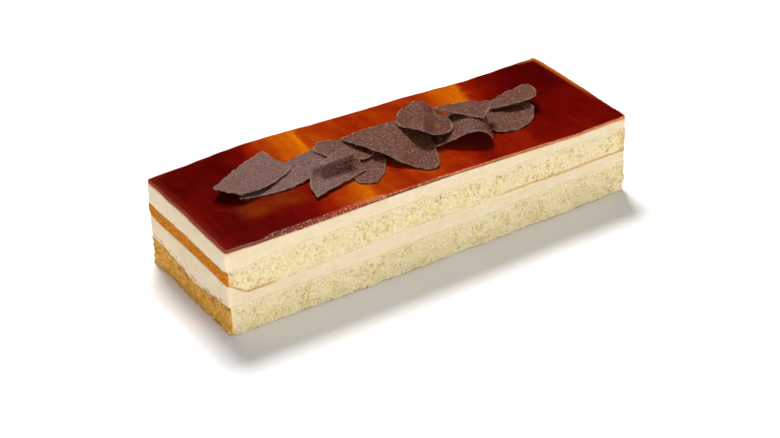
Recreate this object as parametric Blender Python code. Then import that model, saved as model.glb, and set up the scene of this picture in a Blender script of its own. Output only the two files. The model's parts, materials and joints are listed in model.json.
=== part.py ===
"""A caramel tres leches bar cake, built as its baker stacks it.

Two sheets of sponge, two layers of cream, a caramel glaze and a pile of loose chocolate shavings.
Metres, +Z up. The cake stands on z = 0, its length runs along X and its origin is under its middle.
Its long faces are knife cuts. At its left end the sponge keeps its baked edge, which is thinner
than the rest of the sheet, so the cream there is thicker.
"""

import math
from typing import NamedTuple

import bmesh
import bpy
from mathutils import Matrix, Vector, noise
from mathutils.bvhtree import BVHTree

MM = 0.001

# The whole cake
LENGTH = 300 * MM
WIDTH = 105 * MM
HEIGHT = 61 * MM  # to the top of the glaze, over the left two thirds
RIGHT_SINK = 3.2 * MM  # how much lower the glaze lies at the right end
CORNER_RADIUS = 2.5 * MM
GLAZE = 1.6 * MM
GAP = 0.3 * MM  # between neighbouring solids

# Where each layer ends, above the table
BASE_SPONGE_TOP = 20 * MM
LOWER_CREAM_TOP = 27.5 * MM
UPPER_SPONGE_TOP = 50 * MM
END_ZONE = 14 * MM  # how far in from the left end the baked edge thins the sponge

# The mesh of a layer, seen from above
CELLS_LONG = 18
CELLS_WIDE = 6
BORDER_CUTS = 3  # extra points on each border edge, for the relief of the sides
FOOT = 0.7  # how much of a side's relief its lowest edge has
SHARP = 40  # degrees between faces above which an edge stays sharp

# The glaze's rim, from its lower edge to its upper: how far in it lies, and how high up the glaze
RIM_INSET = (0.5 * MM, 0.25 * MM, 0.9 * MM)
RIM_HEIGHT = (0.0, 0.55, 0.85)
GLAZE_ROWS = (0.0, 0.55, 1.0)

# The chocolate
SHAVING = 0.8 * MM  # thickness
SHAVING_GAP = 0.4 * MM
SHAVING_CELLS = (10, 5)
BEND_STEPS = 40
RAGGED = 0.5 * MM  # how far a shaving's broken edge wanders
RAGGED_SIZE = 5 * MM
DROP = 50 * MM  # how high above the cake a shaving is shaped before it comes down

# Colour (linear) and roughness of each finish
FINISHES = {
    "sponge": ((0.80, 0.68, 0.37), 0.8),
    "cream": ((0.83, 0.67, 0.46), 0.6),
    "caramel": ((0.30, 0.02, 0.004), 0.12),
    "chocolate": ((0.16, 0.07, 0.05), 0.5),
}


def ease(value, start, end):
    """0 before start, 1 after end, and a smooth step between them."""
    t = min(max((value - start) / (end - start), 0.0), 1.0)
    return t * t * (3 - 2 * t)


def hump(value, middle, reach):
    """1 at the middle, and nearly 0 at twice the reach from it."""
    return math.exp(-(((value - middle) / reach) ** 2))


def wander(x, y, z, wavelength, size):
    """A smooth uneven value of about +-size, the same on each run."""
    return size * noise.noise(Vector((x, y, z)) / wavelength)


def uneven(x, y, pattern, wavelength, size):
    """Wander for a flat surface. Each pattern number gives another unevenness."""
    return wander(x, y, pattern * 100 * MM, wavelength, size)


# ---------------------------------------------------------------- the surfaces between the layers


def at_left_end(x):
    """1 on the left end face, fading to 0 at END_ZONE inside it."""
    return 1 - ease(x, -LENGTH / 2, -LENGTH / 2 + END_ZONE)


def table(x, y):
    return 0.0


def base_sponge_top(x, y):
    rise = 4.2 * MM * ease(x, 20 * MM, 130 * MM)
    worn = 5 * MM * at_left_end(x) * hump(y, -8 * MM, 26 * MM)
    return BASE_SPONGE_TOP + rise - worn + uneven(x, y, 1, 55 * MM, 0.8 * MM)


def lower_cream_top(x, y):
    rise = 4 * MM * ease(x, -128 * MM, -50 * MM)
    thick_end = 8.5 * MM * at_left_end(x)
    return LOWER_CREAM_TOP + rise + thick_end + uneven(x, y, 2, 50 * MM, 0.9 * MM)


def upper_sponge_top(x, y):
    low_end = 4.5 * MM * (1 - ease(x, -137 * MM, -118 * MM))
    return UPPER_SPONGE_TOP - low_end + uneven(x, y, 3, 45 * MM, 1.0 * MM)


def glaze_top(x, y):
    sink = RIGHT_SINK * ease(x, -10 * MM, 120 * MM)
    high_back = 0.8 * MM * ease(y, 0, WIDTH / 2) * ease(x, -130 * MM, -70 * MM) * ease(-x, 10 * MM, 60 * MM)
    return HEIGHT - sink + high_back + uneven(x, y, 4, 70 * MM, 0.5 * MM)


def upper_cream_top(x, y):
    return glaze_top(x, y) - GLAZE


# ---------------------------------------------------------------- the layers


class Layer(NamedTuple):
    """One layer: the surfaces it lies between, the steps up its side, and how rough that side is."""

    name: str
    finish: str
    low: object
    high: object
    steps: int
    bulge: float  # how far its side stands proud, halfway up
    crag: float  # the relief of its side
    crag_size: float


LAYERS = (
    Layer("sponge_base", "sponge", table, base_sponge_top, 5, 0.3 * MM, 1.3 * MM, 6 * MM),
    Layer("cream_lower", "cream", base_sponge_top, lower_cream_top, 2, 0.4 * MM, 0.3 * MM, 14 * MM),
    Layer("sponge_upper", "sponge", lower_cream_top, upper_sponge_top, 5, 0.5 * MM, 1.2 * MM, 6 * MM),
    Layer("cream_upper", "cream", upper_sponge_top, upper_cream_top, 2, 0.3 * MM, 0.3 * MM, 16 * MM),
)


def crowd(u):
    """Draws the cells of -1 to 1 together towards both ends, where the layers change most."""
    return 0.45 * u + 0.55 * math.sin(u * math.pi / 2)


def past_corner(x, y):
    """How far a point of the plan lies beyond the start of its rounded corner, along X and along Y."""
    return abs(x) - (LENGTH / 2 - CORNER_RADIUS), abs(y) - (WIDTH / 2 - CORNER_RADIUS)


def round_corner(x, y):
    """Moves a point of the rectangle's corner square onto the rounded corner."""
    over_x, over_y = past_corner(x, y)
    if over_x <= 0 or over_y <= 0:
        return x, y
    cut = 1 - max(over_x, over_y) / math.hypot(over_x, over_y)
    return math.copysign(abs(x) - over_x * cut, x), math.copysign(abs(y) - over_y * cut, y)


def outward(x, y):
    """The direction out of the cake at a point of its outline."""
    over_x, over_y = past_corner(x, y)
    direction = Vector((math.copysign(max(over_x, 0), x), math.copysign(max(over_y, 0), y), 0))
    return direction.normalized()


def plan_sheet():
    """The cake's outline from above as triangles, which every layer shares, so that facing layers match."""
    bm = bmesh.new()
    bmesh.ops.create_grid(bm, x_segments=CELLS_LONG, y_segments=CELLS_WIDE, size=1)
    for v in bm.verts:
        v.co.x = crowd(v.co.x) * LENGTH / 2
        v.co.y = crowd(v.co.y) * WIDTH / 2
    border = [e for e in bm.edges if e.is_boundary]
    bmesh.ops.subdivide_edges(bm, edges=border, cuts=BORDER_CUTS)
    bmesh.ops.triangulate(bm, faces=bm.faces[:])
    for v in bm.verts:
        v.co.x, v.co.y = round_corner(v.co.x, v.co.y)
    return bm


def stack_rows(bm, steps):
    """Extrudes a flat sheet upwards into a closed block.

    Returns each point's row, from 0 below to steps above, and the set of the points on the side.
    """
    row = {v: 0 for v in bm.verts}
    side = {v for v in bm.verts if v.is_boundary}
    rim = {tuple(v.co) for v in side}
    sheet = bm.faces[:]
    for step in range(1, steps + 1):
        made = bmesh.ops.extrude_face_region(bm, geom=sheet)["geom"]
        if step > 1:
            bmesh.ops.delete(bm, geom=sheet, context="FACES")
        sheet = [g for g in made if isinstance(g, bmesh.types.BMFace)]
        for v in made:
            if isinstance(v, bmesh.types.BMVert):
                row[v] = step
                if tuple(v.co) in rim:
                    side.add(v)
    bmesh.ops.recalc_face_normals(bm, faces=bm.faces[:])
    return row, side


def knife_cut(x, y, z):
    """How far the cut stands out of its flat plane at a point of the side.

    The front bellies at the left and tucks in at its right foot, the back swells at the left and
    falls away at the right, and the right end stands a little proud.
    """
    front, back = ease(-y, 0, WIDTH / 2), ease(y, 0, WIDTH / 2)
    belly = 1.0 * MM * front * hump(x, -60 * MM, 60 * MM)
    tuck = 1.6 * MM * front * ease(x, 90 * MM, LENGTH / 2) * (1 - ease(z, 0, 9 * MM))
    swell = 3.2 * MM * back * hump(x, -85 * MM, 50 * MM)
    fall_away = 1.2 * MM * back * ease(x, 30 * MM, 110 * MM)
    proud = 2 * MM * ease(x, LENGTH / 2 - CORNER_RADIUS, LENGTH / 2)
    return belly - tuck + swell - fall_away + proud + wander(x, y, z, 42 * MM, 0.9 * MM)


def solid(name, bm, finish):
    """Makes the finished mesh an object of its own with its own material."""
    mesh = bpy.data.meshes.new(name)
    bm.to_mesh(mesh)
    bm.free()
    mesh.shade_smooth()
    mesh.set_sharp_from_angle(angle=math.radians(SHARP))
    colour, roughness = FINISHES[finish]
    material = bpy.data.materials.new(name)
    material.use_nodes = True
    shader = material.node_tree.nodes["Principled BSDF"]
    shader.inputs["Base Color"].default_value = (*colour, 1)
    shader.inputs["Roughness"].default_value = roughness
    shader.inputs["Metallic"].default_value = 0
    mesh.materials.append(material)
    made = bpy.data.objects.new(name, mesh)
    bpy.context.scene.collection.objects.link(made)
    return made


def height_in(layer, x, y, share):
    """The height at share (0 to 1) of the way up a layer, which keeps clear of the one below it."""
    low = layer.low(x, y)
    if layer.low is not table:
        low += GAP
    return low + share * (layer.high(x, y) - low)


def build_layer(layer):
    bm = plan_sheet()
    row, side = stack_rows(bm, layer.steps)
    for v in bm.verts:
        x, y = v.co.x, v.co.y
        share = row[v] / layer.steps
        if v in side:
            z = height_in(layer, x, y, share)
            relief = math.sin(math.pi * share)
            if z == 0:
                relief = FOOT
            crags = layer.bulge + wander(x, y, z, layer.crag_size, layer.crag)
            out = outward(x, y) * (knife_cut(x, y, z) + relief * crags)
            x, y = x + out.x, y + out.y
        v.co = (x, y, height_in(layer, x, y, share))
    return solid(layer.name, bm, layer.finish)


def build_glaze():
    """The set caramel: a thin sheet with a soft rounded rim, torn a little where the knife passed."""
    bm = plan_sheet()
    row, side = stack_rows(bm, len(GLAZE_ROWS) - 1)
    for v in bm.verts:
        x, y = v.co.x, v.co.y
        share = GLAZE_ROWS[row[v]]
        if v in side:
            share = RIM_HEIGHT[row[v]]
            torn = uneven(x, y, 7, 9 * MM, 0.7 * MM)
            out = outward(x, y) * (knife_cut(x, y, HEIGHT) + torn - RIM_INSET[row[v]])
            x, y = x + out.x, y + out.y
        low = upper_cream_top(x, y) + GAP
        v.co = (x, y, low + share * (glaze_top(x, y) - low))
    return solid("caramel_glaze", bm, "caramel")


# ---------------------------------------------------------------- the chocolate shavings


class Shaving(NamedTuple):
    """One curl of shaved chocolate. Lengths in millimetres, angles in degrees.

    It is a strip along its own a axis, with a width at its start, middle and end. It is cut flat and
    then bent, so that along its length it climbs at the given slopes, evenly spaced from start to end.
    """

    at: tuple  # where its middle lies on the cake
    heading: float
    length: float
    widths: tuple
    slopes: tuple = (0, 0)
    bow: float = 0  # how far its middle is moved sideways
    drift: float = 0  # how far its end lies sideways of its start
    skew: tuple = (0, 0)  # how far each end is cut aslant
    tips: tuple = (0, 0)  # how far each end is rounded out
    settles: bool = True  # whether it tips by its own weight, or keeps its slopes where it is wedged


# Each one is laid after those that it rests on
SHAVINGS = {
    "shaving_lower_tail": Shaving((-28, -17), 60, 38, (12, 23, 18), (0, 0, 8), tips=(1, 0)),
    "shaving_left_back": Shaving((-58, 11), 12, 28, (14, 18, 14), (0, 5), tips=(2, 0)),
    "shaving_crest_back": Shaving((-31, 7), -50, 37, (12, 22, 14), tips=(2, 2)),
    "shaving_left_under": Shaving((-81, -1), 5, 60, (3, 15, 9), bow=-3, tips=(2, 2)),
    "shaving_valley": Shaving(
        (-53, -17), 92, 20, (42, 40, 30), (0, 0, 15, 50, 65), drift=-4, skew=(-4.5, 0), settles=False
    ),
    "shaving_wing": Shaving((-47, -10), 8, 25, (1.5, 7, 9), (5, 0), settles=False),
    "shaving_left_leaf": Shaving(
        (-96.5, 9.5), 24, 52, (18, 30, 28), (-14, -4, 0, 6), skew=(-3, 3), tips=(1, -1), settles=False
    ),
    "shaving_round": Shaving((83.5, -11), 22, 38, (18, 33, 20), (-5, 0, 0, 8, 35), tips=(2, 3)),
    "shaving_arch": Shaving(
        (42.7, -17.3), -26, 47, (24, 38, 26), (6, 18, 26, 21, -18, -76), bow=6.5, drift=1, settles=False
    ),
    "shaving_boot": Shaving((-8, -12), -58, 66, (4, 42, 14), (5, 0, -5, -20, -22, 0), bow=11.5, tips=(2, 3)),
    "shaving_ridge": Shaving(
        (26.4, 2.4), -33, 37, (15, 36, 15), (28, 42, 14, -28, -5, -8), bow=-2.3, drift=-6, tips=(1, 2)
    ),
    "shaving_triangle": Shaving(
        (52, -5), -38, 34, (2, 16, 24), (-3, -3), bow=0.8, drift=1.5, skew=(0, 2), tips=(0, 1)
    ),
    "shaving_right_band": Shaving((94, 2.3), -19, 35, (4, 18, 20), drift=2, tips=(2, 2)),
}


def strip_width(widths, share):
    """The width at share (0 to 1) of the length: the curve through the start, middle and end widths."""
    start, middle, end = widths
    ends = start * (1 - share) * (1 - 2 * share) + end * share * (2 * share - 1)
    return ends + 4 * middle * share * (1 - share)


def slope_at(slopes, share):
    """The slope at share (0 to 1) of the length, in radians."""
    place = min(max(share, 0), 1) * (len(slopes) - 1)
    i = min(int(place), len(slopes) - 2)
    return math.radians(slopes[i] + (place - i) * (slopes[i + 1] - slopes[i]))


def bent(s, a):
    """(distance along, height, slope) of the point a millimetres from the middle of the bent strip."""
    along = height = 0.0
    for i in range(BEND_STEPS):
        slope = slope_at(s.slopes, 0.5 + a / s.length * (i + 0.5) / BEND_STEPS)
        along += math.cos(slope) * a / BEND_STEPS
        height += math.sin(slope) * a / BEND_STEPS
    return along, height, slope_at(s.slopes, 0.5 + a / s.length)


def sheet_point(s, u, v, lift):
    """A point of the shaving: u and v from -1 to 1 along and across it, lift off its middle surface."""
    share = (u + 1) / 2
    slant = s.skew[0] * (1 - share) + s.skew[1] * share
    tip = s.tips[1] if u > 0 else s.tips[0]
    a = u * s.length / 2 + slant * v + tip * (1 - v * v) * u * abs(u)
    b = strip_width(s.widths, share) / 2 * v + s.bow * (1 - u * u) + s.drift * share
    if math.isclose(max(abs(u), abs(v)), 1, abs_tol=0.001):
        a += wander(a * MM, b * MM, s.length * MM, RAGGED_SIZE, RAGGED) / MM * abs(u)
        b += wander(a * MM, b * MM, s.heading * MM, RAGGED_SIZE, RAGGED) / MM * abs(v)
    along, height, slope = bent(s, a)
    lift /= MM
    return Vector((along - math.sin(slope) * lift, b, height + math.cos(slope) * lift)) * MM


def shaving_mesh(s):
    """The shaving as a thin closed solid, turned and placed over the cake, high above it."""
    bm = bmesh.new()
    bmesh.ops.create_grid(bm, x_segments=SHAVING_CELLS[0], y_segments=SHAVING_CELLS[1], size=1)
    bmesh.ops.triangulate(bm, faces=bm.faces[:])
    row, _ = stack_rows(bm, 1)
    for v in bm.verts:
        v.co = sheet_point(s, v.co.x, v.co.y, (row[v] - 0.5) * SHAVING)
    place = Matrix.Translation((s.at[0] * MM, s.at[1] * MM, HEIGHT + DROP))
    turn = Matrix.Rotation(math.radians(s.heading), 4, "Z")
    bm.transform(place @ turn)
    return bm


def probes(bm):
    """The corners and edge middles of a mesh, from which clear heights are measured."""
    return [v.co.copy() for v in bm.verts] + [(e.verts[0].co + e.verts[1].co) / 2 for e in bm.edges]


def heights_above(upper, pile):
    """(x, y, clear height) at each point where the upper mesh passes over one of the pile."""
    found = []
    upper_tree = BVHTree.FromBMesh(upper)
    for lower in pile:
        lower_tree = BVHTree.FromBMesh(lower)
        for points, tree, way in ((probes(upper), lower_tree, -1), (probes(lower), upper_tree, 1)):
            for p in points:
                hit, _, _, far = tree.ray_cast(p, Vector((0, 0, way)))
                if hit is not None:
                    found.append((p.x, p.y, far))
    return found


def resting_plane(found, middle):
    """(height, slope x, slope y) by which a shaving comes down to rest on three points round its middle.

    Those points are the corners of the facet, under its middle, of the lower hull of all clear heights.
    """
    hull = bmesh.new()
    for x, y, far in found:
        hull.verts.new((x - middle.x, y - middle.y, far))
    bmesh.ops.convex_hull(hull, input=hull.verts[:])
    bmesh.ops.triangulate(hull, faces=hull.faces[:])
    tree = BVHTree.FromBMesh(hull)
    hit, normal, _, _ = tree.ray_cast(Vector((0, 0, -1)), Vector((0, 0, 1)))
    hull.free()
    return hit.z, -normal.x / normal.z, -normal.y / normal.z


def settle(bm, s, pile):
    """Lowers the shaving onto the pile, tipping it if it settles."""
    middle = sum((v.co for v in bm.verts), Vector()) / len(bm.verts)
    found = heights_above(bm, pile)
    fall, slope_x, slope_y = min(far for _, _, far in found), 0.0, 0.0
    if s.settles:
        fall, slope_x, slope_y = resting_plane(found, middle)
    for v in bm.verts:
        v.co.z -= fall + slope_x * (v.co.x - middle.x) + slope_y * (v.co.y - middle.y) - SHAVING_GAP


def build_shavings(glaze):
    """Lays the shavings one after another, and makes them solids when the whole pile lies."""
    top = bmesh.new()
    top.from_mesh(glaze.data)
    pile = [top]
    for s in SHAVINGS.values():
        bm = shaving_mesh(s)
        settle(bm, s, pile)
        pile.append(bm)
    for name, bm in zip(SHAVINGS, pile[1:]):
        solid(name, bm, "chocolate")
    top.free()


def centre_over_origin(objects):
    """Moves all pieces alike, so that the origin is under the middle of the cake's box."""
    xs = [v.co.x for o in objects for v in o.data.vertices]
    ys = [v.co.y for o in objects for v in o.data.vertices]
    middle = Vector(((min(xs) + max(xs)) / 2, (min(ys) + max(ys)) / 2, 0))
    for o in objects:
        o.data.transform(Matrix.Translation(-middle))


def main():
    for obj in list(bpy.data.objects):
        bpy.data.objects.remove(obj)
    for layer in LAYERS:
        build_layer(layer)
    build_shavings(build_glaze())
    centre_over_origin(list(bpy.data.objects))


main()
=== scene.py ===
"""The looks of a tres leches bar cake: open crumb, smooth cream, set caramel, shaved chocolate."""

import json
import math
import random
from typing import NamedTuple

import bmesh
import bpy
import numpy as np
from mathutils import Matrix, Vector, kdtree, noise
from mathutils.bvhtree import BVHTree

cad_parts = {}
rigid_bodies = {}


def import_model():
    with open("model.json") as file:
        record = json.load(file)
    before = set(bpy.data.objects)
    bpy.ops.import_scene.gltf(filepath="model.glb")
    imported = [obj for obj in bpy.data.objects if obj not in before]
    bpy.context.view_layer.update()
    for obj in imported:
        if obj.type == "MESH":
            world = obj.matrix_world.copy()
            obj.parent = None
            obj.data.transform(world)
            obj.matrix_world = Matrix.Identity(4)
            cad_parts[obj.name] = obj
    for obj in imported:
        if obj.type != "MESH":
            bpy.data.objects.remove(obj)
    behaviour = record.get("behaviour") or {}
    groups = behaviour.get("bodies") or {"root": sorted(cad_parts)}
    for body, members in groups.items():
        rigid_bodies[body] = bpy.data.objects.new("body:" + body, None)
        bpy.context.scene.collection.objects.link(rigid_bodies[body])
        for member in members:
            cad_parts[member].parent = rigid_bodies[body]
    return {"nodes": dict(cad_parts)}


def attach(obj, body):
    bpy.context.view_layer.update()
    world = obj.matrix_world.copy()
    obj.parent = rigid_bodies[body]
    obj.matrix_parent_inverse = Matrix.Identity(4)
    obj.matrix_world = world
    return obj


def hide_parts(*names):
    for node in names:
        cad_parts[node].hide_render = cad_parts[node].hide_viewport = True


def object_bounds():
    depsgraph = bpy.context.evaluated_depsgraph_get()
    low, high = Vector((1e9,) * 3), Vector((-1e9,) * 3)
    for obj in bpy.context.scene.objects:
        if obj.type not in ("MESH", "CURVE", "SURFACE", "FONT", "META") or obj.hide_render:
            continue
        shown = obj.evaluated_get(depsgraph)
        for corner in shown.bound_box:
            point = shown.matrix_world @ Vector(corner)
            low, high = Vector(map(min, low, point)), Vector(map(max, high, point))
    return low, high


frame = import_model()
cad_low, cad_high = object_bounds()

MM = 0.001
BODY = "root"

chance = random.Random(11)

# The camera, which looks at the cake from above its left front corner
CAMERA_AT = Vector((-0.5955, -0.9802, 0.7162))
CAMERA_TURN = (58.137, 1.672, -32.209)  # degrees
CAMERA_LENS = 94.16  # mm
CAMERA_SENSOR = 36  # mm

# The softboxes: where each one is, how wide and high it is in metres, and its power in watts
SOFTBOXES = {
    "key": ((0.25, 0.85, 1.5), (0.6, 0.5), 37),
    "front": ((0.05, -1.8, 0.4), (1.8, 0.6), 15),
    "left": ((-1.5, -0.8, 0.6), (1.0, 0.8), 8.2),
}
SKY_STRENGTH = 0.58
SKY_START = 0.6  # how much of Z a direction has where the room ends and the sky's light begins
DIM_ROOM = (0.006, 0.006, 0.006, 1)
FLOOR_SIZE = 6
FLOOR_DROP = 0.2 * MM  # so that it doesn't share a plane with the cake's underside
FLOOR_GREY = (0.9, 0.9, 0.9)

# The cake's ends and its long sides
LEFT_END, FRONT = cad_low.x, cad_low.y
RIGHT_END, BACK = cad_high.x, cad_high.y

# The meshes
MERGE = 0.01 * MM  # points nearer to each other than this become one
QUAD_ANGLE = math.radians(70)  # how unlike two triangles may be and still be paired into a quad
WALL_LEVELS = 3
CARAMEL_LEVELS = 2
SHAVING_LEVELS = 3
LENGTHWAYS = 3  # an edge that reaches this many times as far along the cake as up runs along it
MIDDLE_REACH = 100 * MM  # the columns nearer the middle than this are the wide ones
FLAT = 0.8  # a face whose normal has more than this much of Z is a top or an underside
FACES_UP = 0.3  # one with more than this much of it belongs to the caramel's top or its round rim
SEAM_LAP = 0.4 * MM  # how far a layer reaches down into the one below, so that no gap shows
LEAST_WEIGHT = 0.001
BROKEN_ANGLE = math.radians(50)  # the faces of a shaving meet at more than this at its broken edge
BROKEN_CREASE = 0.85
DARK_DEPTH = 0.8  # a hole's painted shade is full from this share of the big ones' depth
ON_RIM = 0.05 * MM  # a point of the caramel nearer to its outline than this lies on its side

# The rings that the caramel's top is drawn in by, from its edge inwards
CARAMEL_RINGS = [d * MM for d in (0.4, 0.8, 1.3, 1.9, 2.6, 3.4, 4.3, 5.3, 6.5, 8.0)]


# ---------------------------------------------------------------- working steps


def select_only(piece):
    bpy.ops.object.select_all(action="DESELECT")
    piece.select_set(True)
    bpy.context.view_layer.objects.active = piece


def edit(piece, mode):
    """Opens a piece for editing, with vertices, edges or faces as what is selected."""
    select_only(piece)
    chosen = tuple(mode == m for m in ("VERT", "EDGE", "FACE"))
    bpy.context.tool_settings.mesh_select_mode = chosen
    bpy.ops.object.mode_set(mode="EDIT")


def leave_edit():
    bpy.ops.object.mode_set(mode="OBJECT")


def pick(piece, kind, wanted):
    """Selects the faces, edges or vertices of a piece for which wanted is true, and no others."""
    mesh = piece.data
    for elements in (mesh.vertices, mesh.edges, mesh.polygons):
        elements.foreach_set("select", np.zeros(len(elements), bool))
    elements = {"VERT": mesh.vertices, "EDGE": mesh.edges, "FACE": mesh.polygons}[kind]
    elements.foreach_set("select", np.array([bool(wanted(element)) for element in elements]))


def apply(piece, kind, **settings):
    """Adds a modifier with these settings and applies it."""
    select_only(piece)
    modifier = piece.modifiers.new(kind.title(), kind)
    for setting, value in settings.items():
        setattr(modifier, setting, value)
    bpy.ops.object.modifier_apply(modifier=modifier.name)


def subdivide_smoothly(piece, levels):
    apply(piece, "SUBSURF", levels=levels, render_levels=levels)


def copy_of(node, name):
    """A copy of a solid to work on, with its points merged and its triangles paired into quads."""
    piece = bpy.data.objects.new(name, frame["nodes"][node].data.copy())
    bpy.context.scene.collection.objects.link(piece)
    piece.data.materials.clear()
    select_only(piece)
    bpy.ops.mesh.customdata_custom_splitnormals_clear()
    edit(piece, "FACE")
    bpy.ops.mesh.select_all(action="SELECT")
    bpy.ops.mesh.remove_doubles(threshold=MERGE)
    bpy.ops.mesh.tris_convert_to_quads(face_threshold=QUAD_ANGLE, shape_threshold=QUAD_ANGLE)
    leave_edit()
    return piece


def cut_away(piece, wanted):
    pick(piece, "FACE", wanted)
    edit(piece, "FACE")
    bpy.ops.mesh.delete(type="FACE")
    leave_edit()


def open_wall(piece):
    """Takes the top and the underside off, so that only the wall round the cake is left."""
    cut_away(piece, lambda face: abs(face.normal.z) > FLAT)


def halve_wide_columns(piece):
    """Makes the columns in the middle of the long sides as narrow as those near the corners."""
    points = positions(piece)

    def is_wide(edge):
        a, b = (points[i] for i in edge.vertices)
        runs_along = abs(a[0] - b[0]) > LENGTHWAYS * abs(a[2] - b[2])
        return runs_along and abs(a[0] + b[0]) < 2 * MIDDLE_REACH

    pick(piece, "EDGE", is_wide)
    edit(piece, "EDGE")
    bpy.ops.mesh.loop_multi_select(ring=True)
    bpy.ops.mesh.subdivide(number_cuts=1, smoothness=1)
    leave_edit()


def walk_rim(start):
    """The points of an open edge in their order, from one of them."""
    ring, last = [start], None
    while True:
        ahead = [
            e.other_vert(ring[-1])
            for e in ring[-1].link_edges
            if e.is_boundary and e.other_vert(ring[-1]) is not last
        ]
        last = ring[-1]
        if ahead[0] is start:
            return ring
        ring.append(ahead[0])


def rims(piece):
    """The points of a wall's lower rim and of its upper one, as lists of indices in their order."""
    bm = bmesh.new()
    bm.from_mesh(piece.data)
    left = {v for v in bm.verts if v.is_boundary}
    found = []
    while left:
        ring = walk_rim(min(left, key=lambda v: v.index))
        left -= set(ring)
        found.append((sum(v.co.z for v in ring) / len(ring), [v.index for v in ring]))
    bm.free()
    assert len(found) == 2, f"{piece.name} has {len(found)} rims"
    return [ring for _, ring in sorted(found)]


def close_wall(piece, lap=0.0):
    """Laps the wall down over the layer below and fills both its ends."""
    low_rim = set(rims(piece)[0])
    pick(piece, "VERT", lambda v: v.index in low_rim)
    edit(piece, "VERT")
    bpy.ops.transform.translate(value=(0, 0, -lap))
    leave_edit()
    close_holes(piece)


def close_holes(piece):
    edit(piece, "VERT")
    bpy.ops.mesh.select_all(action="SELECT")
    bpy.ops.mesh.fill_holes(sides=0)
    bpy.ops.mesh.select_all(action="SELECT")
    bpy.ops.mesh.normals_make_consistent(inside=False)
    leave_edit()


def flatten_foot(piece):
    """Presses what reaches below the table up to it."""
    pick(piece, "VERT", lambda v: v.co.z < 0)
    edit(piece, "VERT")
    bpy.ops.transform.resize(value=(1, 1, 0), center_override=(0, 0, 0))
    leave_edit()


def vectors(piece, kind):
    """One vector for each point of a piece, as the rows of an array."""
    values = np.empty(len(piece.data.vertices) * 3)
    piece.data.vertices.foreach_get(kind, values)
    return values.reshape(-1, 3)


def positions(piece):
    return vectors(piece, "co")


def normals(piece):
    return vectors(piece, "normal")


def store(piece, name, values):
    """Keeps one number for each point, for a material to read."""
    attribute = piece.data.attributes.new(name, "FLOAT", "POINT")
    attribute.data.foreach_set("value", np.asarray(values, np.float32))


def stored(piece, name):
    values = np.empty(len(piece.data.vertices), np.float32)
    piece.data.attributes[name].data.foreach_get("value", values)
    return values


def mask(piece, name, weights):
    """A vertex group with a weight for each point."""
    group = piece.vertex_groups.new(name=name)
    for i in np.nonzero(weights > LEAST_WEIGHT)[0]:
        group.add([int(i)], float(weights[i]), "REPLACE")


def smooth_step(values, start, end):
    t = np.clip((np.asarray(values) - start) / (end - start), 0, 1)
    return t * t * (3 - 2 * t)


def stretch(values, start, end, fade):
    """1 between start and end, falling to 0 over a fade to either side."""
    return smooth_step(values, start - fade, start) * (1 - smooth_step(values, end, end + fade))


def patchy(points, size, seed):
    """A smooth random number from 0 to 1 for each point, the same on each run."""
    offset = Vector((seed, seed, seed))
    return np.array([0.5 + 0.5 * noise.noise(Vector(p) / size + offset) for p in points])


def nearest(points, ring):
    """For each point, which of the ring's points lies nearest, and how far off, seen from above."""
    tree = kdtree.KDTree(len(ring))
    for i, (x, y, _) in enumerate(ring):
        tree.insert((x, y, 0), i)
    tree.balance()
    found = [tree.find((x, y, 0)) for x, y, _ in points]
    return np.array([i for _, i, _ in found]), np.array([d for _, _, d in found])


def height_shares(piece):
    """How far up its layer each point of a wall lies, from 0 at the lower rim to 1 at the upper."""
    points = positions(piece)
    low, high = (points[ring][nearest(points, points[ring])[0]][:, 2] for ring in rims(piece))
    return np.clip((points[:, 2] - low) / (high - low), 0, 1)


# ---------------------------------------------------------------- relief


def clouds(size, depth=2):
    texture = bpy.data.textures.new("clouds", "CLOUDS")
    texture.noise_scale = size
    texture.noise_depth = depth
    return texture


def pores(spacing, reach):
    """1 at the middle of each pore and 0 past its reach, which is a share of their spacing."""
    texture = bpy.data.textures.new("pores", "VORONOI")
    texture.noise_scale = spacing
    texture.use_color_ramp = True
    middle, edge = texture.color_ramp.elements
    middle.position, middle.color = reach * 0.3, (1, 1, 1, 1)
    edge.position, edge.color = reach, (0, 0, 0, 1)
    return texture


def relieve(piece, texture, strength, middle=0.5, where="", direction="NORMAL"):
    """Pushes the surface in and out by a texture, more where a mask says."""
    settings = dict(texture=texture, strength=strength, mid_level=middle, direction=direction)
    apply(piece, "DISPLACE", vertex_group=where, **settings)


def roughen(piece, *layers):
    """Relief of uneven lumps. Each layer is (size in mm, detail, strength in mm, mask)."""
    for size, detail, strength, where in layers:
        relieve(piece, clouds(size * MM, detail), strength * MM, where=where)


# ---------------------------------------------------------------- materials


def linear(value):
    return ((value + 0.055) / 1.055) ** 2.4 if value > 0.04045 else value / 12.92


def srgb(*channels):
    """A colour given as 0 to 255 screen values, in the linear values that a shader takes."""
    return tuple(linear(channel / 255) for channel in channels)


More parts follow.
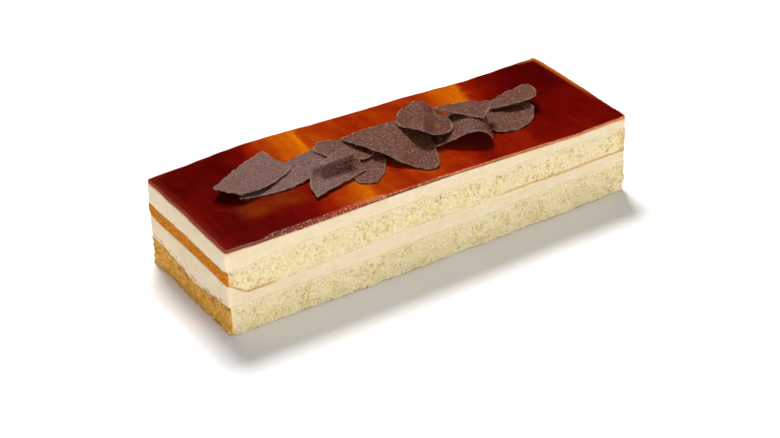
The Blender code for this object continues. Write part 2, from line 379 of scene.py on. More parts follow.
class Paint:
    """A material's nodes, made and joined one after another."""

    def __init__(self, name):
        self.material = bpy.data.materials.new(name)
        self.material.use_nodes = True
        self.nodes = self.material.node_tree.nodes
        self.links = self.material.node_tree.links
        self.shader = self.nodes["Principled BSDF"]
        self.place = self.nodes.new("ShaderNodeTexCoord").outputs["Object"]
        split = self.nodes.new("ShaderNodeSeparateXYZ")
        self.put(split.inputs["Vector"], self.place)
        self.x, self.y = split.outputs["X"], split.outputs["Y"]

    def put(self, socket, value):
        """Joins an output to a socket, or sets a plain value on it."""
        if isinstance(value, bpy.types.NodeSocket):
            self.links.new(value, socket)
        elif isinstance(value, tuple) and len(value) == 3 and len(socket.default_value) == 4:
            socket.default_value = (*value, 1)
        else:
            socket.default_value = value

    def scaled(self, x, y, z, turn=0.0):
        """Object coordinates turned about Z by some degrees, on which features of a size are 1."""
        node = self.nodes.new("ShaderNodeMapping")
        node.vector_type = "POINT"
        self.put(node.inputs["Vector"], self.place)
        node.inputs["Rotation"].default_value = (0, 0, math.radians(turn))
        node.inputs["Scale"].default_value = (1 / x, 1 / y, 1 / z)
        return node.outputs["Vector"]

    def noise(self, size, detail=3, rough=0.55, seed=0.0, source=None):
        """Noise with features of this size in metres, or of 1 on coordinates already scaled."""
        node = self.nodes.new("ShaderNodeTexNoise")
        node.noise_dimensions = "4D"
        node.inputs["W"].default_value = seed
        self.put(node.inputs["Vector"], source or self.place)
        node.inputs["Scale"].default_value = 1 / size
        node.inputs["Detail"].default_value = detail
        node.inputs["Roughness"].default_value = rough
        return node.outputs["Fac"]

    def cells(self, size):
        """How far it is to the nearest of many scattered points, in units of their spacing."""
        node = self.nodes.new("ShaderNodeTexVoronoi")
        self.put(node.inputs["Vector"], self.place)
        node.inputs["Scale"].default_value = 1 / size
        return node.outputs["Distance"]

    def ramp(self, value, *stops):
        """Colours or greys along a value. Each stop is (position, colour or grey)."""
        node = self.nodes.new("ShaderNodeValToRGB")
        elements = node.color_ramp.elements
        while len(elements) < len(stops):
            elements.new(0.5)
        for element, (position, colour) in zip(elements, stops):
            element.position = position
            element.color = (*(colour if isinstance(colour, tuple) else 3 * (colour,)), 1)
        self.put(node.inputs["Fac"], value)
        return node.outputs["Color"]

    def tones(self, value, reach, colours):
        """Three colours, which a value passes through within a reach to either side of 0.5."""
        return self.ramp(value, *zip((0.5 - reach, 0.5, 0.5 + reach), colours))

    def step(self, value, start, end, low=0.0, high=1.0):
        """Low before start, high after end, and smooth between them. Start may be past the end."""
        node = self.nodes.new("ShaderNodeMapRange")
        node.interpolation_type = "SMOOTHSTEP"
        if start > end:
            start, end, low, high = end, start, high, low
        node.inputs["From Min"].default_value = start
        node.inputs["From Max"].default_value = end
        node.inputs["To Min"].default_value = low
        node.inputs["To Max"].default_value = high
        self.put(node.inputs["Value"], value)
        return node.outputs["Result"]

    def band(self, value, start, full, fades, end):
        """1 from where it is full to where it fades, and 0 before the start and past the end."""
        return self.times(self.step(value, start, full), self.step(value, end, fades))

    def blend(self, share, first, second):
        """Second over first by a share from 0 to 1."""
        node = self.nodes.new("ShaderNodeMix")
        node.data_type = "RGBA"
        for name, value in (("Factor_Float", share), ("A_Color", first), ("B_Color", second)):
            self.put(next(s for s in node.inputs if s.identifier == name), value)
        return next(s for s in node.outputs if s.identifier == "Result_Color")

    def calc(self, kind, first, second=0.0, third=0.0):
        node = self.nodes.new("ShaderNodeMath")
        node.operation = kind
        for socket, value in zip(node.inputs, (first, second, third)):
            self.put(socket, value)
        return node.outputs[0]

    def plus(self, first, *others):
        for other in others:
            first = self.calc("ADD", first, other)
        return first

    def times(self, first, *others):
        for other in others:
            first = self.calc("MULTIPLY", first, other)
        return first

    def most(self, first, *others):
        for other in others:
            first = self.calc("MAXIMUM", first, other)
        return first

    def swing(self, value, reach):
        """A number from 0 to 1 as one from minus half the reach to plus half of it."""
        return self.calc("MULTIPLY_ADD", value, reach, -reach / 2)

    def kept(self, name):
        """A number kept on the mesh."""
        node = self.nodes.new("ShaderNodeAttribute")
        node.attribute_name = name
        return node.outputs["Fac"]

    def bump(self, *layers):
        """Raises the surface by some heights. Each layer is (height value, how high in metres)."""
        normal = None
        for height, distance in layers:
            node = self.nodes.new("ShaderNodeBump")
            node.inputs["Strength"].default_value = 1
            node.inputs["Distance"].default_value = distance
            self.put(node.inputs["Height"], height)
            if normal is not None:
                self.put(node.inputs["Normal"], normal)
            normal = node.outputs["Normal"]
        self.put(self.shader.inputs["Normal"], normal)

    def finish(self, colour, roughness, specular, **settings):
        self.put(self.shader.inputs["Base Color"], colour)
        self.put(self.shader.inputs["Roughness"], roughness)
        self.put(self.shader.inputs["Specular IOR Level"], specular)
        for name, value in settings.items():
            self.put(self.shader.inputs[name.replace("_", " ")], value)
        return self.material


class Crumb(NamedTuple):
    """How the crumb of a sheet of sponge is coloured."""

    tones: tuple  # dark, middle and pale
    pore_spacing: float
    seed: float


UPPER_CRUMB = Crumb((srgb(234, 212, 152), srgb(245, 227, 182), srgb(251, 240, 210)), 1.7 * MM, 0)
BASE_CRUMB = Crumb((srgb(232, 211, 156), srgb(246, 229, 187), srgb(252, 241, 212)), 1.3 * MM, 5)
CRUMB_GRAIN = 1.0 * MM
# The olive shade painted into the sponge's pores
PORE_SHADE = srgb(214, 192, 96)
SMOOTH_CRUST = (srgb(188, 94, 4), srgb(214, 126, 10), srgb(226, 152, 40))
CRAGGY_CRUST = (srgb(200, 134, 48), srgb(226, 165, 70), srgb(242, 200, 114))
BROWNED = srgb(176, 112, 62)
CRUST_LINE = srgb(220, 166, 96)
CREAM = srgb(240, 220, 188)
CREAM_SHADE = srgb(235, 212, 175)
CARAMEL_STAIN = srgb(236, 188, 116)

# Where each look begins and where it is full, along the cake
CRUST_LINE_AT_LEFT = (-112 * MM, -124 * MM)
CRUST_LINE_AT_RIGHT = (38 * MM, 62 * MM)
GOLDEN_AT_LEFT = (-143 * MM, -151 * MM)
GOLDEN_AT_RIGHT = (140 * MM, 151 * MM)
CREAM_STAINED = (-80 * MM, 90 * MM)
CREAM_CRUMBLY = (-90 * MM, -20 * MM)


def crust_lines(p, share, fine):
    """Where the sheet's baked underside shows as a thin line along a cut side."""
    low = p.step(p.calc("MULTIPLY_ADD", fine, 0.10, share), 0.16, 0.07)
    at_left = p.step(p.x, *CRUST_LINE_AT_LEFT)
    at_right = p.step(p.x, *CRUST_LINE_AT_RIGHT, 0.0, 0.8)
    return p.times(low, p.most(at_left, at_right))


def crumb_colour(p, crumb):
    """Crumb as fine grains with small pores between, with painted olive shade in the pores. Gives
    its colour, its grain and its pores.
    """
    grain = p.noise(CRUMB_GRAIN, detail=4, rough=0.7, seed=crumb.seed)
    broad = p.noise(14 * MM, detail=3, seed=crumb.seed + 0.3)
    colour = p.tones(grain, 0.16, crumb.tones)
    colour = p.blend(p.step(broad, 0.5, 0.7, 0.0, 0.4), colour, crumb.tones[0])
    where = p.step(p.noise(6 * MM, detail=2, seed=crumb.seed + 0.6), 0.45, 0.6)
    small = p.times(p.step(p.cells(crumb.pore_spacing), 0.42, 0.2), where)
    return p.blend(p.times(small, 0.4), colour, PORE_SHADE), grain, small


def knife_drags(p):
    """Faint upright streaks, where the knife passed."""
    return p.noise(1, detail=3, seed=10, source=p.scaled(1.2 * MM, 1.2 * MM, 12 * MM))


def upper_sponge_finish():
    """Open crumb with painted olive shade in its pores, which come in clusters, and smooth
    orange-brown crust on the short ends.
    """
    p = Paint("upper sponge")
    pit, share, end = p.kept("pit"), p.kept("share"), p.kept("end")
    crumb, grain, small = crumb_colour(p, UPPER_CRUMB)
    # Painted shade in the holes: darker the deeper each one was pushed in
    crumb = p.blend(p.step(pit, 0.3, 1.0, 0.0, 0.55), crumb, PORE_SHADE)
    smeared = p.step(p.plus(p.swing(knife_drags(p), 0.6), share), 0.72, 1.05)
    crumb = p.blend(smeared, crumb, CREAM)
    crumb = p.blend(crust_lines(p, share, grain), crumb, CRUST_LINE)
    baked = p.noise(1, detail=4, rough=0.6, seed=4, source=p.scaled(2 * MM, 6 * MM, 1.6 * MM))
    golden = p.most(p.step(p.x, *GOLDEN_AT_LEFT), p.step(p.x, *GOLDEN_AT_RIGHT))
    crumb = p.blend(p.times(golden, p.step(baked, 0.35, 0.6), 0.6), crumb, CRUST_LINE)
    edge = p.step(p.plus(p.swing(grain, 0.8), end), 0.35, 0.65)
    colour = p.blend(edge, crumb, p.tones(baked, 0.2, SMOOTH_CRUST))
    p.bump((grain, 0.45 * MM), (small, -0.5 * MM))
    return p.finish(colour, 0.85, 0.25, Subsurface_Weight=0.1, Subsurface_Scale=2 * MM)


def base_sponge_finish():
    """Fine close crumb, deeper in colour, with golden craggy crust on the short ends."""
    p = Paint("base sponge")
    pit, share, end = p.kept("pit"), p.kept("share"), p.kept("end")
    crumb, grain, small = crumb_colour(p, BASE_CRUMB)
    # Painted shade in the holes: darker the deeper each one was pushed in
    crumb = p.blend(p.step(pit, 0.2, 0.9, 0.0, 0.5), crumb, PORE_SHADE)
    baked = p.noise(3.2 * MM, detail=5, rough=0.65, seed=8)
    patches = p.times(p.step(share, 0.6, 0.85), p.step(p.noise(7 * MM, seed=9), 0.48, 0.6))
    crust = p.blend(p.times(patches, 0.8), p.tones(baked, 0.18, CRAGGY_CRUST), BROWNED)
    edge = p.step(p.plus(p.swing(grain, 0.9), end), 0.35, 0.6)
    colour = p.blend(edge, crumb, crust)
    p.bump((grain, 0.55 * MM), (small, -0.5 * MM))
    return p.finish(colour, 0.9, 0.2, Subsurface_Weight=0.1, Subsurface_Scale=2 * MM)


def crumbly_cream(p, colour, crumb, where, end):
    """Crumb over the cream on its cut sides. Gives its colour, its grain and how much there is."""
    over, grain, _ = crumb_colour(p, crumb)
    share = p.times(where, p.step(end, 0.5, 0.1))
    return p.blend(share, colour, over), grain, share


def cream_finish(name, is_top):
    """Smooth whipped cream with crumb dragged over it, stained by the caramel if it is the top."""
    p = Paint(name)
    share, end = p.kept("share"), p.kept("end")
    drag = knife_drags(p)
    soft = p.noise(9 * MM, detail=3, seed=11)
    colour = p.blend(p.step(soft, 0.35, 0.7), CREAM, CREAM_SHADE)
    colour = p.blend(p.step(drag, 0.5, 0.75, 0.0, 0.3), colour, UPPER_CRUMB.tones[2])
    if is_top:
        where = p.step(p.plus(p.swing(drag, 0.9), share), 0.42, 0.05)
        colour, grain, crumbly = crumbly_cream(p, colour, UPPER_CRUMB, where, end)
        stained = p.step(p.plus(p.swing(soft, 0.3), share), 0.84, 1.0)
        stained = p.times(stained, p.step(p.x, *CREAM_STAINED, 0.15, 0.85))
        colour = p.blend(stained, colour, CARAMEL_STAIN)
        grain_height = 0.45 * MM
    else:
        uneven = p.plus(p.swing(soft, 0.5), share)
        where = p.most(p.step(uneven, 0.45, 0.15), p.step(uneven, 0.7, 1.0))
        where = p.times(where, p.step(p.x, *CREAM_CRUMBLY, 0.2, 1.0))
        colour, grain, crumbly = crumbly_cream(p, colour, BASE_CRUMB, where, end)
        flecks = p.step(p.noise(4 * MM, seed=13), 0.52, 0.62)
        flecks = p.times(p.step(share, 0.3, 0.1), flecks, end)
        colour = p.blend(p.times(flecks, 0.6), colour, BROWNED)
        grain_height = 0.5 * MM
    p.bump((drag, 0.12 * MM), (soft, 0.5 * MM), (p.times(grain, crumbly), grain_height))
    return p.finish(colour, 0.55, 0.3, Subsurface_Weight=0.15, Subsurface_Scale=3 * MM)


# Caramel from where it is thinnest to where it is thickest
CARAMEL_DEPTHS = (
    (0.0, srgb(222, 140, 24)),
    (0.15, srgb(194, 98, 6)),
    (0.3, srgb(171, 74, 3)),
    (0.45, srgb(151, 48, 3)),
    (0.6, srgb(130, 23, 2)),
    (0.8, srgb(99, 6, 2)),
    (1.0, srgb(70, 2, 1)),
)

# How thick it is along the cake, from the left end (0) to the right (1), along the back and the
# front
THICKNESS_BACK = (
    (0.0, 0.92), (0.16, 0.97), (0.21, 0.82), (0.25, 0.5), (0.29, 0.32), (0.325, 0.27),
    (0.343, 0.12), (0.35, 0.42), (0.47, 0.5), (0.58, 0.55), (0.68, 0.48), (0.705, 0.32),
    (0.74, 0.28), (0.762, 0.18), (0.773, 0.55), (0.82, 0.78), (0.9, 1.0), (1.0, 0.98),
)
THICKNESS_FRONT = (
    (0.0, 0.85), (0.08, 0.98), (0.17, 0.92), (0.24, 0.74), (0.3, 0.5), (0.345, 0.28),
    (0.36, 0.22), (0.375, 0.4), (0.45, 0.55), (0.51, 0.45), (0.57, 0.52), (0.63, 0.68),
    (0.75, 0.66), (0.83, 0.84), (1.0, 0.84),
)
BANDS_LEAN = -0.18  # how far the thin bands move along the cake for each unit across it
BACK_SHIFT, FRONT_SHIFT = 7 * MM, -8 * MM  # how far each of the two lists is moved to the left
BACK_FROM, BACK_FULL = -12 * MM, 26 * MM  # the front's list gives way to the back's between these

# A painted glow: lighter orange-brown painted into the dark caramel in front of the left end's
# shavings. Where it is, along and across the cake
GLOW = srgb(124, 44, 6)
GLOW_ALONG = (-128 * MM, -112 * MM, -88 * MM, -72 * MM)
GLOW_ACROSS = (-34 * MM, -24 * MM, -16 * MM, -6 * MM)

# The caramel's edges: colours, and where each begins and is full along the cake, or in from its rim
# Painted sheen: lighter brown inside the left end's rim, for the light that its sloping, frosted
# edge catches
RIM_BROWN_SHEEN = srgb(116, 36, 22)
BROWN_SHEEN_ALONG, BROWN_SHEEN_INSET = (-134 * MM, -146 * MM), (8 * MM, 2 * MM)
RIM_GOLD = srgb(196, 104, 24)
GOLD_ALONG, GOLD_INSET = (130 * MM, 146 * MM), (5 * MM, 1 * MM)
GOLD_ACROSS = (-30 * MM, 10 * MM)
RIM_ORANGE = srgb(150, 58, 20)
ORANGE_INSET = (1.6 * MM, 0.4 * MM)
# Painted highlight: a thin bright line, broken into beads, along the front's rounded rim
BEAD_HIGHLIGHT = srgb(232, 146, 96)
BEADS_ALONG, BEADS_INSET = (-20 * MM, 30 * MM), (1.0 * MM, 0.3 * MM)
BEADS_ACROSS = (-40 * MM, -48 * MM)
# Torn bits of caramel. Their light specks on the torn rim also stand in for painted glints
TORN_CRUMB = srgb(212, 118, 60)
SEAM_DROP = (0.2 * MM, 1.0 * MM)  # how far below the rim the cream's colour sets in
DULL_ALONG, DULL_INSET = (40 * MM, 0), (2.2 * MM, 0.8 * MM)


def caramel_depth(p, clouded, jag):
    """How thick the caramel is: bands that lean and waver, with streaks and clouds in them."""
    sway = p.noise(38 * MM, detail=3, seed=14)
    shift = p.plus(p.swing(sway, 22 * MM), p.swing(jag, 7 * MM))
    along = p.plus(p.calc("SUBTRACT", p.x, LEFT_END), shift)
    slanted = p.calc("MULTIPLY_ADD", p.y, BANDS_LEAN, along)
    length = RIGHT_END - LEFT_END
    back = p.ramp(p.calc("DIVIDE", p.plus(slanted, BACK_SHIFT), length), *THICKNESS_BACK)
    front = p.ramp(p.calc("DIVIDE", p.plus(slanted, FRONT_SHIFT), length), *THICKNESS_FRONT)
    across = p.plus(p.swing(sway, 40 * MM), p.y)
    depth = p.blend(p.step(across, BACK_FROM, BACK_FULL), front, back)
    turned = p.scaled(6 * MM, 38 * MM, 1, turn=10)
    streaks = p.noise(1, detail=5, seed=16, rough=0.6, source=turned)
    return p.plus(p.swing(streaks, 0.3), p.swing(clouded, 0.4), depth)


def caramel_edges(p, colour, clouded):
    """The colour with brown at the left end, which is painted sheen, gold at the right, orange
    along the rim, and painted highlights on the beads along the front.
    """
    inset = p.kept("inset")
    # Painted sheen inside the left end's rim, broken up by clouds
    brown = p.times(p.step(p.x, *BROWN_SHEEN_ALONG), p.step(inset, *BROWN_SHEEN_INSET, 0.0, 0.45))
    brown = p.times(brown, p.step(clouded, 0.3, 0.65, 0.4, 1.0))
    colour = p.blend(brown, colour, RIM_BROWN_SHEEN)
    gold = p.times(p.step(p.x, *GOLD_ALONG), p.step(inset, *GOLD_INSET, 0.0, 0.85))
    colour = p.blend(p.times(gold, p.step(p.y, *GOLD_ACROSS)), colour, RIM_GOLD)
    colour = p.blend(p.step(inset, *ORANGE_INSET, 0.0, 0.7), colour, RIM_ORANGE)
    # Painted highlight on the beaded rim, broken into short glints
    beads = p.times(p.step(inset, *BEADS_INSET), p.step(p.x, *BEADS_ALONG))
    beads = p.times(beads, p.step(p.y, *BEADS_ACROSS))
    broken = p.step(p.noise(1.6 * MM, seed=24), 0.35, 0.6, 0.35, 0.95)
    return p.blend(p.times(beads, broken), colour, BEAD_HIGHLIGHT)


def caramel_finish():
    """Glossy set caramel, golden where it is thin and dark red where it is thick."""
    p = Paint("set caramel")
    jag = p.noise(7 * MM, detail=3, seed=15)
    clouded = p.noise(16 * MM, detail=4, seed=17)
    colour = p.ramp(caramel_depth(p, clouded, jag), *CARAMEL_DEPTHS)
    # Painted glow in front of the left end's shavings
    glow = p.times(p.band(p.x, *GLOW_ALONG), p.band(p.y, *GLOW_ACROSS))
    colour = p.blend(p.times(glow, p.step(clouded, 0.2, 0.6), 0.8), colour, GLOW)
    colour = caramel_edges(p, colour, clouded)
    torn = p.kept("torn")
    # Light specks on the torn rim: torn bits of caramel, and painted glints
    crumbs = p.step(p.noise(1.0 * MM, detail=4, rough=0.7, seed=22), 0.54, 0.64)
    colour = p.blend(p.times(crumbs, torn, 0.6), colour, TORN_CRUMB)
    seam = p.step(p.plus(p.swing(jag, 0.8 * MM), p.kept("drop")), *SEAM_DROP)
    colour = p.blend(seam, colour, CARAMEL_STAIN)
    dull_rim = p.times(p.step(p.kept("inset"), *DULL_INSET), p.step(p.x, *DULL_ALONG))
    dull = p.most(dull_rim, torn, seam)
    p.bump((p.noise(11 * MM, detail=3, seed=18), 0.08 * MM))
    return p.finish(colour, p.step(dull, 0.0, 0.6, 0.09, 0.45), p.step(dull, 0.0, 0.6, 0.4, 0.06))


WARM_CHOCOLATE = (srgb(38, 12, 5), srgb(82, 36, 20), srgb(128, 72, 48))
# Grey-purple tones that paint the sheen seen on the shavings towards the left end
GREY_SHEEN_CHOCOLATE = (srgb(70, 42, 34), srgb(104, 70, 60), srgb(138, 104, 94))
# Pale chocolate dust, and also the colour of the painted highlight along the broken rims
CHOCOLATE_DUST_AND_HIGHLIGHT = srgb(186, 152, 134)
GREY_SHEEN_ALONG = (-30 * MM, -60 * MM)  # where the painted grey sheen begins and is full


def chocolate_finish():
    """Shaved milk chocolate: a satin brown speckled pale and dark, with a painted grey sheen that
    makes it greyer at the left end, and painted pale highlights along its broken rims.
    """
    p = Paint("shaved chocolate")
    speck = p.noise(0.8 * MM, detail=3, rough=0.8, seed=19)
    dust = p.noise(0.7 * MM, detail=1, seed=20)
    sheen_patches = p.noise(11 * MM, detail=3, seed=21)
    # Painted sheen: grey towards the left end, in patches
    greyness = p.step(p.plus(p.swing(sheen_patches, 30 * MM), p.x), *GREY_SHEEN_ALONG, 0.0, 0.9)
    warm, grey = p.tones(speck, 0.08, WARM_CHOCOLATE), p.tones(speck, 0.1, GREY_SHEEN_CHOCOLATE)
    colour = p.blend(greyness, warm, grey)
    dusted = p.times(p.step(dust, 0.6, 0.68), p.step(greyness, 0.0, 0.9, 0.7, 0.25))
    colour = p.blend(dusted, colour, CHOCOLATE_DUST_AND_HIGHLIGHT)
    # Painted highlight: the broken rims are painted paler, for the light that their thin edges
    # catch
    colour = p.blend(p.step(p.kept("rim"), 0.5, 1.0, 0.0, 0.3), colour, CHOCOLATE_DUST_AND_HIGHLIGHT)
    p.bump((speck, 0.5 * MM), (dust, 0.25 * MM))
    return p.finish(colour, 0.38, 0.16)


def bit_finish(name, colour):
    """A colour mixed with the cream's."""
    p = Paint(name)
    shade = p.noise(0.8 * MM, detail=2, seed=23)
    return p.finish(p.blend(shade, colour, CREAM), 0.6, 0.3)


# ---------------------------------------------------------------- the pieces


def finish_piece(piece, material, node=None):
    """Gives a piece its material and its body, and hides the solid that it replaces."""
    piece.data.materials.append(material)
    select_only(piece)
    bpy.ops.object.shade_smooth()
    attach(piece, BODY)
    if node:
        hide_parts(node)


def make_wall(node, name, narrow):
    """A layer's wall, finely meshed, with how far up each point is and how much it faces an end."""
    piece = copy_of(node, name)
    open_wall(piece)
    if narrow:
        halve_wide_columns(piece)
    subdivide_smoothly(piece, WALL_LEVELS)
    share = height_shares(piece)
    end = smooth_step(np.abs(normals(piece)[:, 0]), 0.3, 0.85)
    store(piece, "share", share)
    store(piece, "end", end)
    return piece, share, end


class Holes(NamedTuple):
    """The holes in a cut side. Their reach is a share of their spacing."""

    spacing: float
    depth: float
    reach: float


def make_sponge(node, name, big, small, crag, material, is_base):
    """A sheet of sponge: holes in its cut sides, crust on its ends, and the base's ragged foot."""
    piece, share, end = make_wall(node, name, True)
    points, directions = positions(piece), normals(piece)
    cut = (1 - end) * smooth_step(share, 0.0, 0.08) * smooth_step(1 - share, 0.0, 0.14)
    mask(piece, "cut", cut)
    mask(piece, "clusters", cut * smooth_step(patchy(points, 10 * MM, 5), 0.42, 0.62))
    mask(piece, "crust", end * smooth_step(share, 0.0, 0.05))
    for holes, where in ((big, "clusters"), (small, "cut")):
        relieve(piece, pores(holes.spacing, holes.reach), -holes.depth, 0, where)
    depth = ((points - positions(piece)) * directions).sum(1)
    # How deep each hole was pushed in, which the materials paint as shade
    store(piece, "pit", depth / (big.depth * DARK_DEPTH))
    mask(piece, "body", 0.3 + 0.7 * smooth_step(1 - share, 0.0, 0.2))
    roughen(piece, (2.4, 2, 1.0, "body"), (1.0, 1, 0.9, "body"), (4, 2, crag, "crust"))
    if is_base:
        mask(piece, "foot", 1 - smooth_step(points[:, 2], 0, 3 * MM))
        roughen(piece, (1.5, 1, 2.6, "foot"))
        relieve(piece, clouds(2.0 * MM), 2.4 * MM, 0.42, "foot", "Z")
        close_wall(piece)
        flatten_foot(piece)
    else:
        close_wall(piece, SEAM_LAP)
    finish_piece(piece, material, node)
    return piece


def make_cream(node, name, material):
    piece, _, _ = make_wall(node, name, False)
    roughen(piece, (6, 2, 0.6, ""), (1.6, 1, 0.25, ""))
    close_wall(piece, SEAM_LAP)
    finish_piece(piece, material, node)


def corner(points, x_sign, y_sign):
    """Which of a ring's points is at one of its corners."""
    return int(np.argmax(points[:, 0] * x_sign + points[:, 1] * y_sign))


def draw_top_in(piece):
    """Draws a wall's upper rim in ring by ring."""
    ring = set(rims(piece)[1])
    pick(piece, "VERT", lambda v: v.index in ring)
    edit(piece, "VERT")
    reach = 0.0
    for inset in CARAMEL_RINGS:
        bpy.ops.mesh.extrude_edges_indiv()
        shrink = ((RIGHT_END - inset) / (RIGHT_END - reach), (BACK - inset) / (BACK - reach), 1)
        bpy.ops.transform.resize(value=shrink, center_override=(0, 0, 0))
        reach = inset
    leave_edit()


def fill_top(piece):
    """Fills the opening in the top with a grid that runs along the cake, and evens it out."""
    ring = rims(piece)[1]
    points = positions(piece)[ring]
    start = corner(points, -1, -1)
    along = (corner(points, 1, -1) - start) % len(ring)
    chosen = set(ring)
    pick(piece, "VERT", lambda v: v.index in chosen)
    edit(piece, "VERT")
    bm = bmesh.from_edit_mesh(piece.data)
    bm.verts.ensure_lookup_table()
    bm.select_history.clear()
    bm.select_history.add(bm.verts[ring[start]])
    bmesh.update_edit_mesh(piece.data)
    bpy.ops.mesh.fill_grid(span=min(along, len(ring) - along))
    bpy.ops.mesh.select_more()
    leave_edit()
    inner = {v.index for v in piece.data.vertices if v.select} - chosen
    pick(piece, "VERT", lambda v: v.index in inner)
    edit(piece, "VERT")
    bpy.ops.mesh.vertices_smooth(factor=0.5, repeat=30, xaxis=True, yaxis=True, zaxis=False)
    leave_edit()


def make_glaze(material):
    """The caramel: a thin skin with a rounded rim, torn along the front's left half."""
    guide = copy_of("caramel_glaze", "caramel_guide")
    cut_away(guide, lambda face: face.normal.z < FACES_UP)
    subdivide_smoothly(guide, CARAMEL_LEVELS)
    piece = copy_of("caramel_glaze", "caramel")
    open_wall(piece)
    halve_wide_columns(piece)
    subdivide_smoothly(piece, CARAMEL_LEVELS)
    outline = positions(piece)[rims(piece)[1]]
    draw_top_in(piece)
    fill_top(piece)
    points = positions(piece)
    closest, inset = nearest(points, outline)
    drop = np.where(inset < ON_RIM, outline[closest][:, 2] - points[:, 2], 0)
    on_top = np.abs(normals(piece)[:, 2]) > 0.5
    mask(piece, "top", on_top * smooth_step(inset, 0, 1.5 * MM))
    apply(
        piece, "SHRINKWRAP", target=guide, wrap_method="PROJECT", use_project_z=True,
        use_negative_direction=True, use_positive_direction=True, vertex_group="top",
    )
    bpy.data.objects.remove(guide)
    x, y = points[:, 0], points[:, 1]
    in_front = smooth_step(-y, 20 * MM, 30 * MM)
    torn = (1 - smooth_step(inset, 1.5 * MM, 5.5 * MM)) * stretch(x, -112 * MM, -48 * MM, 14 * MM)
    beaded = (1 - smooth_step(inset, 0.4 * MM, 2 * MM)) * smooth_step(x, -60 * MM, -30 * MM)
    mask(piece, "torn rim", torn * in_front)
    mask(piece, "beaded rim", beaded * in_front)
    roughen(piece, (2.4, 2, 1.2, "torn rim"), (1.1, 1, 0.7, "torn rim"))
    roughen(piece, (1.3, 1, 0.7, "beaded rim"))
    store(piece, "inset", inset)
    store(piece, "drop", drop)
    store(piece, "torn", torn * in_front)
    close_holes(piece)
    finish_piece(piece, material, "caramel_glaze")
    return piece


def pick_broken_edges(piece):
    """Opens a shaving with the edges all round its broken rim selected."""
    edit(piece, "EDGE")
    bpy.ops.mesh.select_all(action="DESELECT")
    bpy.ops.mesh.edges_select_sharp(sharpness=BROKEN_ANGLE)


def make_shaving(node, material):
    """A thin curl of chocolate, its broad faces smooth and its edge sharp and a little torn."""
    piece = copy_of(node, node.replace("shaving", "chocolate"))
    pick_broken_edges(piece)
    bpy.ops.transform.edge_crease(value=BROKEN_CREASE)
    leave_edit()
    subdivide_smoothly(piece, SHAVING_LEVELS)
    pick_broken_edges(piece)
    leave_edit()
    points = positions(piece)
    broken = points[[v.select for v in piece.data.vertices]]
    rim = 1 - smooth_step(nearest(points, broken)[1], 0.2 * MM, 1.6 * MM)
    # How near each point is to the broken edge, where the material paints a pale highlight
    store(piece, "rim", rim)
    mask(piece, "torn edge", rim)
    roughen(piece, (5, 2, 0.6, ""), (1.2, 1, 0.3, ""))
    roughen(piece, (5, 1, 1.5, "torn edge"), (1.6, 2, 0.5, "torn edge"))
    finish_piece(piece, material, node)


def make_bits(name, spots, sizes, material):
    """Small broken bits: copies of one lump, each with its own turn and size, as one piece."""
    bpy.ops.object.select_all(action="DESELECT")
    bpy.ops.mesh.primitive_ico_sphere_add(subdivisions=1, radius=1)
    lump = bpy.context.object
    relieve(lump, clouds(LUMP_ROUGHNESS[0]), LUMP_ROUGHNESS[1])
    bits = []
    for spot in spots:
        bit = bpy.data.objects.new(name, lump.data.copy())
        bpy.context.scene.collection.objects.link(bit)
        bit.location = spot
        bit.rotation_euler = [chance.uniform(0, math.tau) for _ in range(3)]
        bit.scale = [chance.uniform(*sizes) for _ in range(3)]
        bits.append(bit)
    bpy.data.objects.remove(lump)
    select_only(bits[0])
    for bit in bits:
        bit.select_set(True)
    bpy.ops.object.transform_apply(location=True, rotation=True, scale=True)
    bpy.ops.object.join()
    bits[0].name = name
    finish_piece(bits[0], material)


# The lumps that the bits are made from, before they are scaled: size and strength of their relief
LUMP_ROUGHNESS = (0.9, 1.1)

# The bits along the caramel's front rim: how many, from where to where along the cake, and how far
# in from the rim they reach
TORN_BITS = (
    (60, -118 * MM, -48 * MM, 4 * MM),
    (16, -43 * MM, -37 * MM, 2.5 * MM),
    (60, -48 * MM, 22 * MM, 1.2 * MM),
)
TORN_SIZES = (0.2 * MM, 0.5 * MM)
FOOT_CRUMBS = 260
FOOT_HEIGHTS = (1.2, 2.6)  # mm
FOOT_SIZES = (0.35 * MM, 0.8 * MM)
CLEAR = 10 * MM  # how far in front of the cake a ray at its foot starts


def spots_on_rim(caramel, count, start, end, reach):
    """Points of the caramel's top by its front edge."""
    near = stored(caramel, "inset") < reach
    points = [
        v.co.copy()
        for v in caramel.data.vertices
        if near[v.index] and v.co.y < 0 and start < v.co.x < end and v.normal.z > 0.2
    ]
    return chance.sample(points, count)


def spots_on_foot(base, count):
    """Places low on the front of the base sponge."""
    points = [v.co for v in base.data.vertices]
    tree = BVHTree.FromPolygons(points, [face.vertices for face in base.data.polygons])
    spots = []
    while len(spots) < count:
        x, z = chance.uniform(LEFT_END, RIGHT_END), chance.uniform(*FOOT_HEIGHTS) * MM
        hit = tree.ray_cast(Vector((x, FRONT - CLEAR, z)), Vector((0, 1, 0)), 2 * CLEAR)[0]
        if hit:
            spots.append(hit)
    return spots


# ---------------------------------------------------------------- the studio


def make_floor():
    bpy.ops.mesh.primitive_plane_add(size=FLOOR_SIZE, location=(0, 0, -FLOOR_DROP))
    floor = bpy.context.object
    floor.name = "floor"
    floor.data.materials.append(Paint("pale floor").finish(FLOOR_GREY, 0.9, 0.0))


def make_softbox(name, at, size, power):
    """A broad soft light that faces the cake."""
    light = bpy.data.lights.new(name, "AREA")
    light.shape = "RECTANGLE"
    light.size, light.size_y = size
    light.energy = power
    lamp = bpy.data.objects.new(name, light)
    bpy.context.scene.collection.objects.link(lamp)
    lamp.location = at
    lamp.rotation_euler = (-Vector(at)).to_track_quat("-Z", "Y").to_euler()


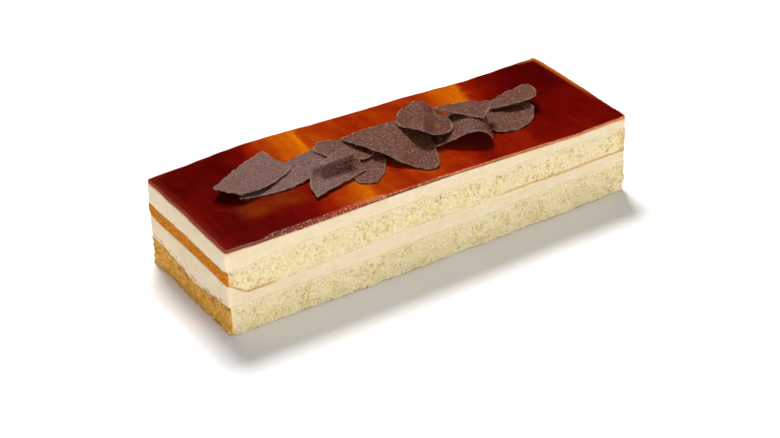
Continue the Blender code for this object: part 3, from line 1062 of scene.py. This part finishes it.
def make_world():
    """Even light from above, and a dim room low down, which is what the caramel mirrors."""
    world = bpy.data.worlds.new("studio")
    bpy.context.scene.world = world
    world.use_nodes = True
    nodes, links = world.node_tree.nodes, world.node_tree.links
    split = nodes.new("ShaderNodeSeparateXYZ")
    links.new(nodes.new("ShaderNodeTexCoord").outputs["Generated"], split.inputs["Vector"])
    ramp = nodes.new("ShaderNodeValToRGB")
    low, high = ramp.color_ramp.elements
    low.position, low.color = SKY_START, DIM_ROOM
    high.position, high.color = 1.0, (1, 1, 1, 1)
    links.new(split.outputs["Z"], ramp.inputs["Fac"])
    links.new(ramp.outputs["Color"], nodes["Background"].inputs["Color"])
    nodes["Background"].inputs["Strength"].default_value = SKY_STRENGTH


def make_camera():
    camera = bpy.data.objects.new("camera", bpy.data.cameras.new("camera"))
    bpy.context.scene.collection.objects.link(camera)
    camera.data.sensor_width = CAMERA_SENSOR
    camera.data.lens = CAMERA_LENS
    camera.location = CAMERA_AT
    camera.rotation_euler = [math.radians(a) for a in CAMERA_TURN]
    bpy.context.scene.camera = camera


make_camera()
make_world()
make_floor()
for softbox, (at, size, power) in SOFTBOXES.items():
    make_softbox(softbox, at, size, power)
bpy.context.scene.view_settings.view_transform = "Standard"

base = make_sponge(
    "sponge_base", "base_crumb", big=Holes(3.0 * MM, 0.7 * MM, 0.55),
    small=Holes(1.5 * MM, 0.5 * MM, 0.6), crag=1.8, material=base_sponge_finish(), is_base=True,
)
make_cream("cream_lower", "middle_cream", cream_finish("middle cream", False))
make_sponge(
    "sponge_upper", "upper_crumb", big=Holes(2.9 * MM, 0.9 * MM, 0.55),
    small=Holes(1.7 * MM, 0.5 * MM, 0.6), crag=0.6, material=upper_sponge_finish(), is_base=False,
)
make_cream("cream_upper", "top_cream", cream_finish("top cream", True))
caramel = make_glaze(caramel_finish())
chocolate = chocolate_finish()
for node in sorted(n for n in frame["nodes"] if n.startswith("shaving")):
    make_shaving(node, chocolate)

torn_spots = [spot for row in TORN_BITS for spot in spots_on_rim(caramel, *row)]
make_bits("torn_bits", torn_spots, TORN_SIZES, bit_finish("torn bits", TORN_CRUMB))
foot_spots = spots_on_foot(base, FOOT_CRUMBS)
foot_finish = bit_finish("foot crumbs", BASE_CRUMB.tones[1])
make_bits("foot_crumbs", foot_spots, FOOT_SIZES, foot_finish)
